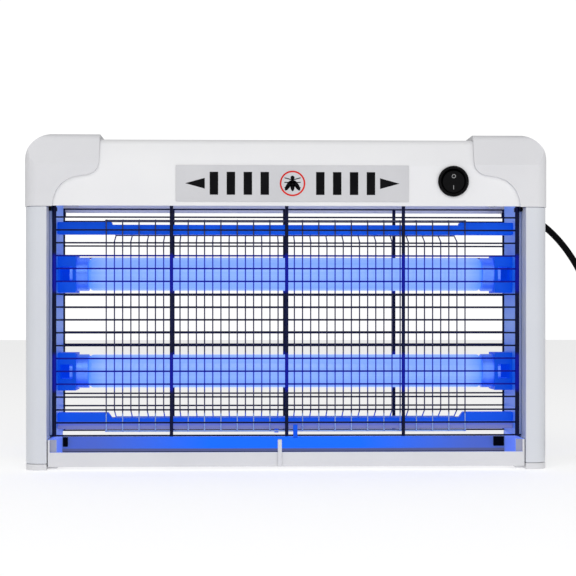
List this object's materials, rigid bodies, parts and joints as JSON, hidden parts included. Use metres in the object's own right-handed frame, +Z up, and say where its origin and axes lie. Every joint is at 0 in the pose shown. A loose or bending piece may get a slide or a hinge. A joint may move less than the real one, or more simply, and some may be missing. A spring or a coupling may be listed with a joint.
{
  "type": "electric bug zapper",
  "caption": "Free-standing electric insect killer with UV tubes, a high-voltage wire grid, hinged wire guards, a slide-out tray and a round rocker switch.",
  "frame": {"origin": "on the floor under the middle of the case", "axes": "+Z up; +X to the right seen from the front, where the switch and label are; +Y from front to back"},
  "size_m": [0.5317, 0.1467, 0.25],
  "materials": {
    "painted_case": "satin white enamel",
    "white_plastic": "satin white moulding",
    "pale_plastic": "translucent white moulding, lit blue by the tubes",
    "black_plastic": "satin black moulding",
    "cord_jacket": "matte black jacket",
    "guard_wire": "black coated wire",
    "grid_wire": "bright drawn wire",
    "tube_glass": "lit ultraviolet tube, blue glow",
    "tube_cap": "satin",
    "contact_brass": "polished",
    "screw_steel": "plated",
    "ballast_steel": "dip-varnished laminations",
    "circuit_board": "solder mask",
    "capacitor_film": "dipped film",
    "label_film": "printed grey film"
  },
  "bodies": {
    "case": {"ballast_left": "ballast_steel", "ballast_right": "ballast_steel", "cord_coil": "cord_jacket", "cord_tail": "cord_jacket", "cord_tie": "cord_jacket", "corner_cap_left": "white_plastic", "corner_cap_right": "white_plastic", "floor_screw_1": "screw_steel", "floor_screw_2": "screw_steel", "floor_screw_3": "screw_steel", "floor_screw_4": "screw_steel", "front_guard_pivot_left": "black_plastic", "front_guard_pivot_right": "black_plastic", "housing_floor": "white_plastic", "hv_capacitor": "capacitor_film", "hv_circuit_board": "circuit_board", "hv_grid_live": "grid_wire", "hv_grid_return": "grid_wire", "hv_transformer": "black_plastic", "label_plate": "label_film", "lampholder_lower_left": "pale_plastic", "lampholder_lower_right": "pale_plastic", "lampholder_upper_left": "pale_plastic", "lampholder_upper_right": "pale_plastic", "lower_grid_bar": "pale_plastic", "lower_rear_rail": "painted_case", "plug_body": "black_plastic", "plug_pin_left": "contact_brass", "plug_pin_right": "contact_brass", "post_foot_left": "white_plastic", "post_foot_right": "white_plastic", "power_cord": "cord_jacket", "rear_guard_pivot_left": "black_plastic", "rear_guard_pivot_right": "black_plastic", "return_rail_lower": "grid_wire", "return_rail_upper": "grid_wire", "side_plate_left": "pale_plastic", "side_plate_right": "pale_plastic", "side_post_left": "painted_case", "side_post_right": "painted_case", "strain_relief": "black_plastic", "switch_body": "black_plastic", "switch_terminal_lower": "contact_brass", "switch_terminal_upper": "contact_brass", "terminal_block": "white_plastic", "top_housing": "painted_case", "upper_grid_bar": "pale_plastic"},
    "front_guard": {"front_guard": "guard_wire", "front_guard_latch": "pale_plastic"},
    "rear_guard": {"rear_guard": "guard_wire", "rear_guard_latch": "pale_plastic"},
    "tray": {"collection_tray": "white_plastic", "tray_tab": "white_plastic"},
    "rocker": {"switch_rocker": "black_plastic"},
    "upper_tube": {"uv_tube_upper": "tube_glass", "tube_cap_upper_left": "tube_cap", "tube_cap_upper_right": "tube_cap"},
    "lower_tube": {"uv_tube_lower": "tube_glass", "tube_cap_lower_left": "tube_cap", "tube_cap_lower_right": "tube_cap"}
  },
  "joints": [
    {"name": "front_guard_hinge", "type": "hinge", "parent": "case", "child": "front_guard", "pos_m": [0, -0.0285, 0.1982], "axis": [-1, 0, 0], "range_deg": [0, 70]},
    {"name": "rear_guard_hinge", "type": "hinge", "parent": "case", "child": "rear_guard", "pos_m": [0, 0.0285, 0.1982], "axis": [1, 0, 0], "range_deg": [0, 70]},
    {"name": "tray_slide", "type": "slide", "parent": "case", "child": "tray", "axis": [0, -1, 0], "range_m": [0, 0.08]},
    {"name": "switch_rock", "type": "hinge", "parent": "case", "child": "rocker", "pos_m": [0.1239, -0.042, 0.2147], "axis": [-1, 0, 0], "range_deg": [0, 16]},
    {"name": "upper_tube_turn", "type": "hinge", "parent": "case", "child": "upper_tube", "pos_m": [0, 0.0025, 0.1464], "axis": [1, 0, 0], "range_deg": [0, 90]},
    {"name": "lower_tube_turn", "type": "hinge", "parent": "case", "child": "lower_tube", "pos_m": [0, 0.0025, 0.0719], "axis": [1, 0, 0], "range_deg": [0, 90]}
  ]
}
